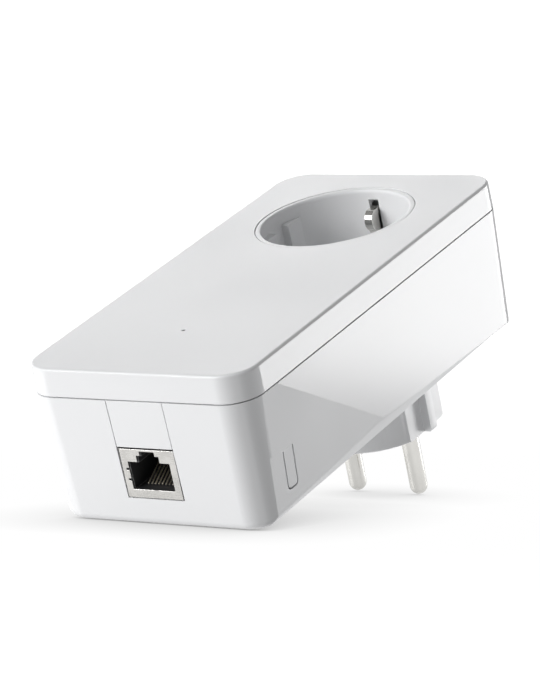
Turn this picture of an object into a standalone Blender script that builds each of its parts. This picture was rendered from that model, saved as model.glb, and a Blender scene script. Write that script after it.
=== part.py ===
"""Powerline adapter with a pass-through earthed socket, upright as it hangs on a wall socket.

+X is right seen from the front, +Y points into the wall and +Z is up. The origin is the centre of the plug
body's front face, on the common axis of the plug and the socket. Dimensions are named in millimetres and
measured from the plane of the housing's back face, where y is 0. The helpers turn them into metres, and the
BASE empty, which every object hangs on, brings the plug's face to the origin.
"""

import math

import bmesh
import bpy
from mathutils import Matrix, Vector

MM = 0.001

# Housing
BELOW_AXIS = 100.0  # socket axis to the network-port end
ABOVE_AXIS = 31.0  # socket axis to the top end
HALF_WIDTH = 32.6  # at the parting line
DEPTH = 41.0  # front face to wall plane
SKIRT = 7.6  # height of the front cover's side
CORNER = 8.4  # radius of the upright corners
WALL = 2.0
PARTING_GAP = 0.3
COVER_DRAFT = 0.09  # how much the cover narrows from the parting line to its face
SIDE_DRAFT = 1.1  # how much each side of the rear housing comes in, from the parting line to the wall
END_DRAFT = 0.75
FACE_ROUND = 0.8
BACK_ROUND = 2.2
PARTING_Y = -DEPTH + SKIRT

# Facets on each side of the rear housing
CHAMFER_IN = 3.0  # along the wall plane
CHAMFER_UP = 4.3  # along the side
RIDGE_LOW = (PARTING_Y, -86.0)  # y, z where the ridge leaves the parting line
RIDGE_HIGH = (-5.0, -43.5)  # y, z where the ridge meets the chamfer
FACET_TILT = math.radians(1.5)

# Socket recess (CEE 7/3) and plug body (CEE 7/7)
RECESS_RADIUS = 19.5
RECESS_DEPTH = 17.5
RECESS_FLAT = 17.1  # half the distance between the guide flats
GUIDE_SLOT = 3.2  # half the width of the slot in each guide flat
RIM_RADIUS = 20.95
FACE_HOLE = 21.25
PIN_SPACING = 19.0
PIN_RADIUS = 2.4
PIN_END = 37.9
PLUG_RADIUS = 17.9
PLUG_FLAT = 15.3
PLUG_RIB = 1.6  # half the width of the rib on each flat
PLUG_DEPTH = 18.8
PLUG_HOLE = 18.2

# Network port
PORT_HALF = 8.3
PORT_LOW_Y = -7.3
JACK_HALF = 7.95
JACK_TOP_Y = -20.5
JACK_LOW_Y = -7.6
JACK_FRONT_Z = -99.45
JACK_BACK_Z = -84.0
JACK_FLOOR_Y = -9.8
JACK_STEPS = [(6.1, -17.1), (3.3, -18.8), (2.2, -19.95)]  # half width and top of each step of the opening
CONTACT_PITCH = 1.02

# Pairing button
BUTTON_Z = (-88.0, -84.25)
BUTTON_Y = (-16.5, -6.55)
SLIT = 0.42
HINGE_SLIT = 0.1
BUTTON_HINGE = (29.9, BUTTON_Y[0], sum(BUTTON_Z) / 2)
PLUNGER_X = (27.1, 28.2)
PLUNGER_YZ = (-9.9, BUTTON_HINGE[2])

# Shutter and earth clips
SPRING_TURNS = 3.25
SPRING_RADIUS = 2.75
SPRING_Y = (-19.1, -17.2)
CLIP_ROOT = (-9.0, 19.5)  # y, z of the point about which the upper clip flexes

# Inside
HOLE_TWIST = 7.0
BOARD_THICK = 1.6
MAIN_BOARD_Y = -7.2  # component side
MAIN_BOARD_HALF = 28.2  # clears the tip of the button at the end of its travel
MAINS_BOARD_Y = -35.0  # component side
LAMP_Z = -74.2
POSTS = [(-24.0, -93.5), (24.0, -93.5), (-24.0, 24.5), (24.0, 24.5)]
CARRIER_SCREWS = {"left": -12.4, "right": 12.4}
CARRIER_SCREW_Z = 11.4
BOARD_SCREWS = {"left": -22.0, "right": 22.0}
BOARD_SCREW_Z = -48.0

FINISHES = {
    "white_satin": ((0.80, 0.81, 0.83), 0.45, 0.0),
    "white_gloss": ((0.84, 0.85, 0.87), 0.25, 0.0),
    "black_plastic": ((0.02, 0.02, 0.022), 0.45, 0.0),
    "grey_plastic": ((0.30, 0.31, 0.33), 0.5, 0.0),
    "clear_plastic": ((0.85, 0.90, 0.92), 0.1, 0.0),
    "nickel": ((0.66, 0.65, 0.62), 0.22, 1.0),
    "brass": ((0.72, 0.52, 0.22), 0.3, 1.0),
    "steel": ((0.55, 0.56, 0.58), 0.35, 1.0),
    "aluminium": ((0.75, 0.76, 0.78), 0.4, 1.0),
    "copper": ((0.72, 0.36, 0.18), 0.35, 1.0),
    "board_green": ((0.03, 0.20, 0.08), 0.4, 0.0),
    "chip_black": ((0.03, 0.03, 0.03), 0.6, 0.0),
    "film_yellow": ((0.75, 0.60, 0.10), 0.45, 0.0),
    "disc_blue": ((0.05, 0.15, 0.45), 0.4, 0.0),
}


def clear_scene():
    for obj in list(bpy.data.objects):
        bpy.data.objects.remove(obj, do_unlink=True)


def new_collection(name):
    made = bpy.data.collections.new(name)
    bpy.context.scene.collection.children.link(made)
    return made


clear_scene()
PARTS = new_collection("powerline_adapter")
CUTTERS = new_collection("cutters")
BASE = bpy.data.objects.new("adapter_base", None)
BASE.location = (0.0, -PLUG_DEPTH * MM, 0.0)
PARTS.objects.link(BASE)


def place(obj, collection):
    collection.objects.link(obj)
    obj.parent = BASE
    return obj


def finish_material(finish):
    """The Principled material of one finish, made the first time it is asked for."""
    found = bpy.data.materials.get(finish)
    if found:
        return found
    colour, roughness, metallic = FINISHES[finish]
    made = bpy.data.materials.new(finish)
    made.use_nodes = True
    shader = made.node_tree.nodes["Principled BSDF"]
    shader.inputs["Base Color"].default_value = (*colour, 1.0)
    shader.inputs["Roughness"].default_value = roughness
    shader.inputs["Metallic"].default_value = metallic
    made.diffuse_color = (*colour, 1.0)
    return made


def to_mesh(name, bm):
    bmesh.ops.scale(bm, vec=(MM, MM, MM), verts=bm.verts)
    bmesh.ops.recalc_face_normals(bm, faces=bm.faces)
    mesh = bpy.data.meshes.new(name)
    bm.to_mesh(mesh)
    bm.free()
    mesh.shade_smooth()
    mesh.set_sharp_from_angle(angle=math.radians(30))
    return mesh


def part(name, bm, finish):
    obj = bpy.data.objects.new(name, to_mesh(name, bm))
    obj.data.materials.append(finish_material(finish))
    return place(obj, PARTS)


def tool(name, bm):
    """A shape that is only used to cut or join another."""
    obj = bpy.data.objects.new(name, to_mesh(name, bm))
    obj.hide_render = True
    obj.display_type = "WIRE"
    return place(obj, CUTTERS)


def combine(obj, operand, operation):
    step = obj.modifiers.new(f"{operation.lower()} {operand.name}", "BOOLEAN")
    step.operation = operation
    step.solver = "EXACT"
    step.object = operand


def cut(obj, bm, name="cut"):
    combine(obj, tool(f"{obj.name}_{name}", bm), "DIFFERENCE")


def join(obj, bm, name="join"):
    combine(obj, tool(f"{obj.name}_{name}", bm), "UNION")


def place_origin(obj, point):
    """Moves the origin to a point in millimetres and leaves the shape where it is."""
    here = Vector(point) * MM
    obj.data.transform(Matrix.Translation(-here))
    obj.location = here


def add_block(bm, xs, ys, zs):
    centre = Vector((sum(xs) / 2, sum(ys) / 2, sum(zs) / 2))
    size = (xs[1] - xs[0], ys[1] - ys[0], zs[1] - zs[0])
    matrix = Matrix.Translation(centre) @ Matrix.Diagonal((*size, 1.0))
    return bmesh.ops.create_cube(bm, size=1.0, matrix=matrix)["verts"]


def block(xs, ys, zs, rounding=0.0, segments=2):
    bm = bmesh.new()
    add_block(bm, xs, ys, zs)
    if rounding:
        bmesh.ops.bevel(bm, geom=bm.edges[:], offset=rounding, segments=segments, profile=0.5,
                        affect="EDGES")
    return bm


TURN_TO = {
    "X": Matrix.Rotation(math.radians(90), 4, "Y"),
    "Y": Matrix.Rotation(math.radians(-90), 4, "X"),
    "Z": Matrix.Identity(4),
}


def add_rod(bm, radius, span, centre, axis="Y", segments=24, twist=0.0):
    """A cylinder along an axis; centre gives the other two coordinates in X, Y, Z order.

    Twist, in degrees, keeps the facets of a hole from lining up with those of what stands in it.
    """
    middle = list(centre)
    middle.insert("XYZ".index(axis), sum(span) / 2)
    matrix = Matrix.Translation(middle) @ TURN_TO[axis] @ Matrix.Rotation(math.radians(twist), 4, "Z")
    bmesh.ops.create_cone(bm, cap_ends=True, segments=segments, radius1=radius, radius2=radius,
                          depth=span[1] - span[0], matrix=matrix)


def rod(radius, span, centre, axis="Y", segments=24, twist=0.0):
    bm = bmesh.new()
    add_rod(bm, radius, span, centre, axis, segments, twist)
    return bm


def turned(name, profile, centre, finish, steps=48):
    """Turns a profile of (radius, height) about an axis that points out of the wall, from centre (x, z).

    The profile runs down its outer side from top to bottom, and a height h stands for y = -h.
    """
    bm = bmesh.new()
    points = [bm.verts.new((radius, 0.0, height)) for radius, height in profile]
    for start, end in zip(points, points[1:]):
        bm.edges.new((start, end))
    if profile[0][0] > 0.0:
        bm.edges.new((points[-1], points[0]))
    bmesh.ops.scale(bm, vec=(MM, MM, MM), verts=bm.verts)
    mesh = bpy.data.meshes.new(name)
    bm.to_mesh(mesh)
    bm.free()
    obj = bpy.data.objects.new(name, mesh)
    obj.data.materials.append(finish_material(finish))
    obj.rotation_euler = (math.radians(90), 0.0, 0.0)
    obj.location = (centre[0] * MM, 0.0, centre[1] * MM)
    place(obj, PARTS)
    screw = obj.modifiers.new("turn", "SCREW")
    screw.axis = "Z"
    screw.steps = steps
    screw.render_steps = steps
    screw.use_merge_vertices = True
    screw.merge_threshold = 0.00001
    screw.use_smooth_shade = True
    return obj


def arc(centre, radius, start, end, count):
    """Points of (radius, height) on an arc whose angles are in degrees."""
    angles = [math.radians(start + (end - start) * i / count) for i in range(count + 1)]
    return [(centre[0] + radius * math.cos(a), centre[1] + radius * math.sin(a)) for a in angles]


def slice_off(bm, point, normal):
    """Cuts away what lies beyond a plane, and closes the cut."""
    done = bmesh.ops.bisect_plane(bm, geom=bm.verts[:] + bm.edges[:] + bm.faces[:], dist=0.0001,
                                  plane_co=point, plane_no=normal, clear_outer=True)
    rim = [piece for piece in done["geom_cut"] if isinstance(piece, bmesh.types.BMEdge)]
    bmesh.ops.edgeloop_fill(bm, edges=rim)


def rounded_box(y_wide, y_narrow, half_width, low, high, drafts, corner, edge_round, fine=False):
    """A box with round corners along Y that narrows from one end to the other, its narrow rim rounded."""
    corner_steps, rim_steps = (10, 3) if fine else (4, 1)
    bm = bmesh.new()
    add_block(bm, (-half_width, half_width), sorted((y_wide, y_narrow)), (low, high))
    along_y = [e for e in bm.edges if abs((e.verts[0].co - e.verts[1].co).y) > 1.0]
    bmesh.ops.bevel(bm, geom=along_y, offset=corner, segments=corner_steps, profile=0.5, affect="EDGES")
    middle = (low + high) / 2
    half_length = (high - low) / 2
    for vert in bm.verts:
        share = (vert.co.y - y_wide) / (y_narrow - y_wide)
        vert.co.x *= 1.0 - share * drafts[0] / half_width
        vert.co.z = middle + (vert.co.z - middle) * (1.0 - share * drafts[1] / half_length)
    rim = [e for e in bm.edges if all(abs(v.co.y - y_narrow) < 0.001 for v in e.verts)]
    bmesh.ops.bevel(bm, geom=rim, offset=edge_round, segments=rim_steps, profile=0.5, affect="EDGES")
    return bm


def side_x(y):
    """Half the width of the rear housing at y, before the facets."""
    return HALF_WIDTH - SIDE_DRAFT * (y - PARTING_Y) / -PARTING_Y


def add_facets(bm, inset):
    """The chamfer and the tilted facet on both sides, moved inwards by inset."""
    side_normal = Vector((1.0, SIDE_DRAFT / -PARTING_Y, 0.0)).normalized()
    low = Vector((side_x(RIDGE_LOW[0]), *RIDGE_LOW))
    high = Vector((side_x(RIDGE_HIGH[0]), *RIDGE_HIGH))
    facet_normal = Matrix.Rotation(FACET_TILT, 3, (high - low).normalized()) @ side_normal
    chamfer_normal = Vector((CHAMFER_UP, CHAMFER_IN, 0.0)).normalized()
    chamfer_point = Vector((side_x(0.0) - CHAMFER_IN, 0.0, 0.0))
    for point, normal in ((low, facet_normal), (chamfer_point, chamfer_normal)):
        inner = point - normal * inset
        for side in (1, -1):
            slice_off(bm, (side * inner.x, inner.y, inner.z), (side * normal.x, normal.y, normal.z))


def housing_form(inset, fine=False):
    """The rear housing's outer form, or with an inset the hollow inside it, open towards the front."""
    bm = rounded_box(PARTING_Y, -inset, HALF_WIDTH - inset, -BELOW_AXIS + inset, ABOVE_AXIS - inset,
                     (SIDE_DRAFT, END_DRAFT), CORNER - inset * 0.6, BACK_ROUND - inset * 0.5, fine)
    add_facets(bm, inset)
    return bm


def soften_back_edges(bm):
    """A small round on the edges where the chamfers meet the side and the back."""
    edges = []
    for edge in bm.edges:
        low = all(v.co.y > -CHAMFER_UP - 2.0 for v in edge.verts)
        long = edge.calc_length() > 20.0
        if low and long and len(edge.link_faces) == 2 and edge.calc_face_angle() > math.radians(20):
            edges.append(edge)
    bmesh.ops.bevel(bm, geom=edges, offset=0.5, segments=2, profile=0.5, affect="EDGES")


def make_front_cover():
    low, high = -BELOW_AXIS, ABOVE_AXIS
    top_y = PARTING_Y - PARTING_GAP
    outer = rounded_box(top_y, -DEPTH, HALF_WIDTH, low, high, (COVER_DRAFT, COVER_DRAFT), CORNER,
                        FACE_ROUND, fine=True)
    cover = part("front_cover", outer, "white_satin")
    cut(cover, rounded_box(top_y + 1.0, -DEPTH + WALL, HALF_WIDTH - WALL, low + WALL, high - WALL,
                           (0.0, 0.0), CORNER - WALL, 0.5), "hollow")
    cut(cover, rod(FACE_HOLE, (-DEPTH - 2.0, -DEPTH + WALL + 2.0), (0.0, 0.0), segments=80), "face_hole")
    posts = bmesh.new()
    for x, z in POSTS:
        add_rod(posts, 2.8, (-DEPTH + WALL - 0.7, -8.3), (x, z), segments=20)
    add_rod(posts, 2.4, (-DEPTH + WALL - 0.7, MAINS_BOARD_Y - BOARD_THICK - 0.6), (0.0, LAMP_Z), segments=20)
    join(cover, posts, "posts")
    holes = bmesh.new()
    for x, z in POSTS:
        add_rod(holes, 1.35, (-23.0, -7.0), (x, z), segments=16, twist=HOLE_TWIST)
    add_rod(holes, 0.55, (-DEPTH - 1.0, -DEPTH + 1.4), (0.0, LAMP_Z), segments=24, twist=HOLE_TWIST)
    cut(cover, holes, "holes")
    cut(cover, rod(1.5, (-DEPTH + 1.0, -30.0), (0.0, LAMP_Z), segments=20, twist=HOLE_TWIST), "guide_bore")


def lip_block(inset, y_front, y_back):
    """A round-cornered block inside the parting line, from which the housing's locating lip is made."""
    return rounded_box(y_back, y_front, HALF_WIDTH - inset, -BELOW_AXIS + inset, ABOVE_AXIS - inset,
                       (0.0, 0.0), CORNER - inset, 0.2)


def make_rear_housing():
    outer = housing_form(0.0, fine=True)
    soften_back_edges(outer)
    housing = part("rear_housing", outer, "white_gloss")
    cut(housing, housing_form(WALL), "hollow")
    lip_top = PARTING_Y - 2.0
    join(housing, lip_block(WALL + 0.25, lip_top, PARTING_Y + 3.0), "lip")
    join(housing, lip_block(WALL - 0.6, PARTING_Y + 0.4, PARTING_Y + 2.8), "lip_root")
    cut(housing, lip_block(WALL + 1.35, lip_top - 1.0, PARTING_Y + 4.0), "mouth")
    bosses = bmesh.new()
    for x, z in POSTS:
        add_rod(bosses, 3.6, (-8.0, -1.0), (x, z), segments=20)
    for x in BOARD_SCREWS.values():
        add_rod(bosses, 2.6, (MAIN_BOARD_Y + BOARD_THICK + 0.3, -1.0), (x, BOARD_SCREW_Z), segments=20)
    join(housing, bosses, "bosses")
    counterbores = bmesh.new()
    holes = bmesh.new()
    for x, z in POSTS:
        add_rod(counterbores, 2.9, (-2.4, 2.0), (x, z), segments=24, twist=HOLE_TWIST)
        add_rod(holes, 1.6, (-9.0, -2.0), (x, z), segments=16, twist=HOLE_TWIST)
    for x in BOARD_SCREWS.values():
        add_rod(holes, 1.3, (-10.0, -2.2), (x, BOARD_SCREW_Z), segments=16, twist=HOLE_TWIST)
    cut(housing, counterbores, "counterbores")
    cut(housing, holes, "screw_holes")
    cut(housing, rod(PLUG_HOLE, (-5.0, 3.0), (0.0, 0.0), segments=72), "plug_hole")
    cut(housing, block((-PORT_HALF, PORT_HALF), (lip_top - 2.0, PORT_LOW_Y),
                       (-BELOW_AXIS - 2.0, -BELOW_AXIS + 5.0)), "port")
    z_span = (BUTTON_Z[0] - SLIT, BUTTON_Z[1] + SLIT)
    y_span = (BUTTON_Y[0] - HINGE_SLIT, BUTTON_Y[1] + SLIT)
    cut(housing, block((HALF_WIDTH - 5.0, HALF_WIDTH + 3.0), y_span, z_span), "button_slot")


def make_wall_piece(name, window):
    """A piece of the rear housing's wall, filling a window that was cut through it."""
    piece = part(name, housing_form(0.0), "white_gloss")
    cut(piece, housing_form(WALL), "hollow")
    combine(piece, tool(f"{name}_window", window), "INTERSECT")
    return piece


def make_port_filler_panel():
    half = PORT_HALF - 0.2
    window = block((-half, half), (PARTING_Y, JACK_TOP_Y - 0.55), (-BELOW_AXIS - 2.0, -BELOW_AXIS + 4.0))
    make_wall_piece("port_filler_panel", window)


def make_pairing_button():
    window = block((HALF_WIDTH - 5.0, HALF_WIDTH + 3.0), BUTTON_Y, BUTTON_Z)
    tip = [e for e in window.edges if all(v.co.y > BUTTON_Y[1] - 0.1 for v in e.verts)
           and abs((e.verts[0].co - e.verts[1].co).x) > 1.0]
    bmesh.ops.bevel(window, geom=tip, offset=0.6, segments=3, profile=0.5, affect="EDGES")
    button = make_wall_piece("pairing_button", window)
    y, z = PLUNGER_YZ
    join(button, block((PLUNGER_X[1] + 0.35, 30.4), (y - 0.7, y + 0.7), (z - 1.1, z + 1.1)), "rib")
    place_origin(button, BUTTON_HINGE)
    for step in button.modifiers:
        step.object.parent = button
        step.object.matrix_parent_inverse = Matrix.Translation(-button.location)


def make_screw(name, x, z, head_y, tip_y, head_radius, shank_radius, finish="steel"):
    """A pan-head screw along Y whose head starts at head_y and whose tip is nearer the front or the back."""
    way = 1.0 if tip_y > head_y else -1.0
    head_end = head_y + way * 1.5
    screw = part(name, rod(head_radius, sorted((head_y, head_end)), (x, z), segments=20), finish)
    join(screw, rod(shank_radius, sorted((head_end - way * 0.4, tip_y)), (x, z), segments=10), "shank")
    slot = 0.35
    cut(screw, block((x - head_radius * 0.6, x + head_radius * 0.6),
                     sorted((head_y - way * 1.0, head_y + way * 0.7)), (z - slot, z + slot)), "slot_a")
    cut(screw, block((x - slot, x + slot), sorted((head_y - way * 1.0, head_y + way * 0.7)),
                     (z - head_radius * 0.6, z + head_radius * 0.6)), "slot_b")


def make_case_screws():
    names = ("lower_left", "lower_right", "upper_left", "upper_right")
    for name, (x, z) in zip(names, POSTS):
        make_screw(f"case_screw_{name}", x, z, -0.5, -20.0, 2.6, 1.1)


def make_socket_insert():
    floor_top = DEPTH - RECESS_DEPTH
    rim_top = DEPTH - 0.1
    profile = [(0.0, floor_top), (RECESS_RADIUS - 0.5, floor_top)]
    profile += [(RECESS_RADIUS, floor_top + 0.5), (RECESS_RADIUS, rim_top - 1.0)]
    profile += [(RECESS_RADIUS + 0.25, rim_top - 0.35), (RECESS_RADIUS + 0.55, rim_top)]
    profile += arc((RIM_RADIUS - 0.3, rim_top - 0.3), 0.3, 90, 0, 2)
    profile += [(RIM_RADIUS, 38.4), (23.6, 38.4), (23.6, 36.8), (20.9, 36.8), (20.9, 21.0), (0.0, 21.0)]
    insert = turned("socket_insert", profile, (0.0, 0.0), "white_satin", steps=72)
    guides = tool("guide_flats", rod(20.3, (-DEPTH + 3.8, -22.0), (0.0, 0.0), segments=72))
    cut(guides, block((-RECESS_FLAT, RECESS_FLAT), (-45.0, -15.0), (-25.0, 25.0)), "middle")
    cut(guides, block((-25.0, 25.0), (-46.0, -14.0), (-GUIDE_SLOT, GUIDE_SLOT)), "slots")
    combine(insert, guides, "UNION")
    holes = bmesh.new()
    for side in (1, -1):
        add_rod(holes, 3.0, (-30.0, -15.0), (side * PIN_SPACING / 2, 0.0), segments=28)
        add_rod(holes, 1.35, (-22.5, -15.0), (side * CARRIER_SCREWS["right"], CARRIER_SCREW_Z), segments=14,
                twist=HOLE_TWIST)
        add_block(holes, (-1.5, 1.5), (-DEPTH + 2.8, -15.0), sorted((side * 18.6, side * 22.0)))
    cut(insert, holes, "holes")


def make_contact_carrier():
    carrier = part("contact_carrier", rod(20.5, (-19.2, -8.0), (0.0, 0.0), segments=40), "black_plastic")
    rim = tool("carrier_rim", rod(19.0, (-20.7, -18.6), (0.0, 0.0), segments=40))
    cut(rim, rod(15.0, (-22.0, -17.0), (0.0, 0.0), segments=32), "inside")
    combine(carrier, rim, "UNION")
    holes = bmesh.new()
    add_rod(holes, 3.9, (-19.8, -16.8), (0.0, 0.0), segments=20)
    for side in (1, -1):
        add_rod(holes, 4.2, (-25.0, -5.0), (side * PIN_SPACING / 2, 0.0), segments=20)
        add_rod(holes, 1.6, (-25.0, -5.0), (side * CARRIER_SCREWS["right"], CARRIER_SCREW_Z), segments=14,
                twist=HOLE_TWIST)
        add_block(holes, (-1.6, 1.6), (-25.0, -5.0), sorted((side * 18.2, side * 22.0)))
    cut(carrier, holes, "holes")
    join(carrier, rod(1.5, (-20.8, -16.0), (0.0, 0.0), segments=20), "pivot")


def make_shutter():
    shutter = part("shutter", rod(13.4, (-20.7, -19.5), (0.0, 0.0), segments=48), "white_satin")
    for side in (1, -1):
        cut(shutter, block((-14.0, 14.0), (-22.0, -18.0), sorted((side * 3.5, side * 15.0))), f"side_{side}")
    join(shutter, rod(4.6, (-20.7, -19.5), (0.0, 0.0), segments=32), "hub")
    cut(shutter, rod(1.85, (-22.0, -18.0), (0.0, 0.0), segments=20), "bore")


def spring_point(turn):
    """A point of the shutter spring's centre line, a number of turns from its front end."""
    angle = math.tau * turn
    y = SPRING_Y[0] + (SPRING_Y[1] - SPRING_Y[0]) * turn / SPRING_TURNS
    return Vector((SPRING_RADIUS * math.cos(angle), y, SPRING_RADIUS * math.sin(angle)))


def make_shutter_spring():
    """A torsion spring round the shutter's pivot, in a pocket of the carrier."""
    per_turn = 12
    points = [spring_point(i / per_turn) for i in range(int(SPRING_TURNS * per_turn) + 1)]
    points.append(points[-1] + Vector((0.0, 0.0, points[-1].z * 0.25)))
    curve = bpy.data.curves.new("shutter_spring", "CURVE")
    curve.dimensions = "3D"
    curve.bevel_depth = 0.2 * MM
    curve.bevel_resolution = 1
    curve.use_fill_caps = True
    spline = curve.splines.new("POLY")
    spline.points.add(len(points) - 1)
    for point, centre in zip(spline.points, points):
        point.co = (*(centre * MM), 1.0)
    curve.materials.append(finish_material("steel"))
    place(bpy.data.objects.new("shutter_spring", curve), PARTS)


def prism(outline, xs):
    """An outline of (y, z) points, run along X."""
    bm = bmesh.new()
    face = bm.faces.new([bm.verts.new((xs[0], y, z)) for y, z in outline])
    moved = bmesh.ops.extrude_face_region(bm, geom=[face])["geom"]
    verts = [v for v in moved if isinstance(v, bmesh.types.BMVert)]
    bmesh.ops.translate(bm, verts=verts, vec=(xs[1] - xs[0], 0.0, 0.0))
    return bm


def make_earth_clip(name, side):
    """A spring strip along the carrier whose free end bulges into the recess."""
    bulge = [(-33.2 + 3.0 * math.sin(a), 17.9 - 2.9 * math.cos(a)) for a in
             [math.radians(d) for d in range(-75, 61, 15)]]
    outline = [(-36.1, 19.2)] + bulge + [(-28.4, 17.4), (-25.0, 19.1), (-6.75, 19.1), (-6.75, 19.9),
                                         (-24.6, 19.9), (-28.6, 18.6), (-34.0, 18.8), (-36.3, 20.0)]
    clip = part(name, prism([(y, side * z) for y, z in outline], (-1.2, 1.2)), "nickel")
    place_origin(clip, (0.0, CLIP_ROOT[0], side * CLIP_ROOT[1]))


def make_receptacle(name, side):
    ring = [(3.8, 18.8), (3.8, 9.2), (2.9, 9.2), (2.75, 17.6), (3.1, 18.8)]
    sleeve = turned(name, ring, (side * PIN_SPACING / 2, 0.0), "brass", steps=28)
    cut(sleeve, block((side * 9.5 - 0.4, side * 9.5 + 0.4), (-20.0, -11.0), (-6.0, 6.0)), "slit")


def make_busbar(name, side):
    """A strip from the root of a pin and its receptacle down to the mains board."""
    x = side * PIN_SPACING / 2
    outline = [(-7.7, 0.0), (-7.0, 0.0), (-7.0, -30.2), (-34.6, -30.2), (-34.6, -29.5), (-7.7, -29.5)]
    bar = part(name, prism(outline, sorted((x + side * 0.2, x + side * 3.5))), "brass")
    join(bar, block((x - 3.9, x + 3.9), (-7.8, -6.9), (-4.5, 4.5)), "plate")
    cut(bar, rod(PIN_RADIUS + 0.15, (-9.0, -5.0), (x, 0.0), segments=24), "pin_hole")


def make_plug_body():
    body = part("plug_body", rod(PLUG_RADIUS, (-4.3, PLUG_DEPTH), (0.0, 0.0), segments=72), "white_gloss")
    rounding = body.modifiers.new("edge", "BEVEL")
    rounding.width = 0.6 * MM
    rounding.segments = 2
    rounding.limit_method = "ANGLE"
    rounding.angle_limit = math.radians(60)
    for side in (1, -1):
        flat = tool(f"plug_flat_{side}", block(sorted((side * PLUG_FLAT, side * 22.0)),
                                               (0.35, PLUG_DEPTH + 2.0), (-14.0, 14.0)))
        cut(flat, block(sorted((side * 10.0, side * 24.0)), (-2.0, PLUG_DEPTH + 3.0),
                        (-PLUG_RIB, PLUG_RIB)), "rib")
        combine(body, flat, "DIFFERENCE")
    join(body, rod(21.0, (-4.3, -2.5), (0.0, 0.0), segments=40), "flange")
    holes = bmesh.new()
    for side in (1, -1):
        add_rod(holes, PIN_RADIUS + 0.15, (-8.0, 22.0), (side * PIN_SPACING / 2, 0.0), segments=32)
        add_block(holes, (-2.7, 2.7), (-8.0, 17.0), sorted((side * 15.9, side * 23.0)))
    add_block(holes, (-4.8, 4.8), (-8.0, 15.5), (-12.5, 12.5))
    cut(body, holes, "holes")


def make_plug_pin(name, side):
    tip = arc((0.0, PIN_RADIUS - PIN_END), PIN_RADIUS, 0, -90, 5)
    profile = [(0.0, 8.7), (PIN_RADIUS, 8.7)] + tip
    turned(name, profile, (side * PIN_SPACING / 2, 0.0), "nickel", steps=28)


def make_plug_earth_strip(name, side):
    part(name, block((-2.4, 2.4), (-5.3, 16.6), sorted((side * 16.2, side * 17.25)), 0.25), "nickel")


def make_earth_bridge():
    part("earth_bridge", block((-2.5, 2.5), (-6.4, -5.6), (-20.3, 20.3), 0.2, 1), "brass")


def make_socket_group():
    make_socket_insert()
    make_contact_carrier()
    make_shutter()
    make_shutter_spring()
    make_earth_clip("earth_clip_upper", 1)
    make_earth_clip("earth_clip_lower", -1)
    make_earth_bridge()
    make_receptacle("live_receptacle", 1)
    make_receptacle("neutral_receptacle", -1)
    for name, x in CARRIER_SCREWS.items():
        make_screw(f"carrier_screw_{name}", x, CARRIER_SCREW_Z, -6.4, -22.0, 2.6, 1.05)


def make_plug_group():
    make_plug_body()
    for name, side in (("live", 1), ("neutral", -1)):
        make_plug_pin(f"plug_pin_{name}", side)
        make_busbar(f"{name}_busbar", side)
    for name, side in (("upper", 1), ("lower", -1)):
        make_plug_earth_strip(f"plug_earth_strip_{name}", side)


def make_jack():
    shield = part("jack_shield", block((-JACK_HALF, JACK_HALF), (JACK_TOP_Y, JACK_LOW_Y),
                                       (JACK_FRONT_Z, JACK_BACK_Z), 0.25, 1), "nickel")
    sheet = 0.4
    cut(shield, block((-JACK_HALF + sheet, JACK_HALF - sheet), (JACK_TOP_Y + sheet, JACK_LOW_Y - sheet),
                      (JACK_FRONT_Z + sheet, JACK_BACK_Z + 2.0)), "inside")
    for number, (half, top) in enumerate(JACK_STEPS):
        cut(shield, block((-half, half), (top, JACK_FLOOR_Y), (-101.0, -97.0)), f"opening_{number}")
    notches = bmesh.new()
    for side in (1, -1):
        for low in (-15.4, -12.6):
            add_block(notches, sorted((side * 5.0, side * 6.9)), (low, low + 0.55), (-101.0, -97.5))
    cut(shield, notches, "spring_notches")
    inner = 0.12
    housing = part("jack_housing", block((-JACK_HALF + sheet + inner, JACK_HALF - sheet - inner),
                                         (JACK_TOP_Y + sheet + inner, JACK_LOW_Y - sheet - inner),
                                         (JACK_FRONT_Z + sheet + inner, JACK_BACK_Z - 0.2)), "black_plastic")
    for number, (half, top) in enumerate(JACK_STEPS):
        cut(housing, block((-half + 0.2, half - 0.2), (top + 0.3, JACK_FLOOR_Y + 0.2), (-101.0, -86.5)),
            f"opening_{number}")
    make_jack_contacts()


def make_jack_contacts():
    """Eight spring wires that rise from the jack's floor to a bar at its back."""
    bar = block((-4.6, 4.6), (-15.4, -14.2), (-88.2, -87.0))
    contacts = part("jack_contacts", bar, "brass")
    front, back = Vector((0.0, -10.0, -96.5)), Vector((0.0, -14.8, -87.6))
    run = back - front
    tilt = Matrix.Rotation(math.atan2(-run.y, run.z), 4, "X")
    wires = bmesh.new()
    for i in range(8):
        shift = Vector(((i - 3.5) * CONTACT_PITCH, 0.0, 0.0))
        matrix = Matrix.Translation((front + back) / 2 + shift) @ tilt @ Matrix.Diagonal(
            (0.38, 0.38, run.length, 1.0))
        bmesh.ops.create_cube(wires, size=1.0, matrix=matrix)
    join(contacts, wires, "wires")


def make_main_board():
    board_back = MAIN_BOARD_Y + BOARD_THICK
    outline = block((-MAIN_BOARD_HALF, MAIN_BOARD_HALF), (MAIN_BOARD_Y, board_back), (-89.4, -32.0))
    board = part("main_board", outline, "board_green")
    join(board, block((-19.0, 19.0), (MAIN_BOARD_Y, board_back), (-97.0, -88.0)), "port_end")
    holes = bmesh.new()
    for x in BOARD_SCREWS.values():
        add_rod(holes, 1.5, (-10.0, -4.0), (x, BOARD_SCREW_Z), segments=16, twist=HOLE_TWIST)
    cut(board, holes, "holes")
    for name, x in BOARD_SCREWS.items():
        make_screw(f"board_screw_{name}", x, BOARD_SCREW_Z, -9.0, -2.9, 2.4, 1.0)


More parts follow.
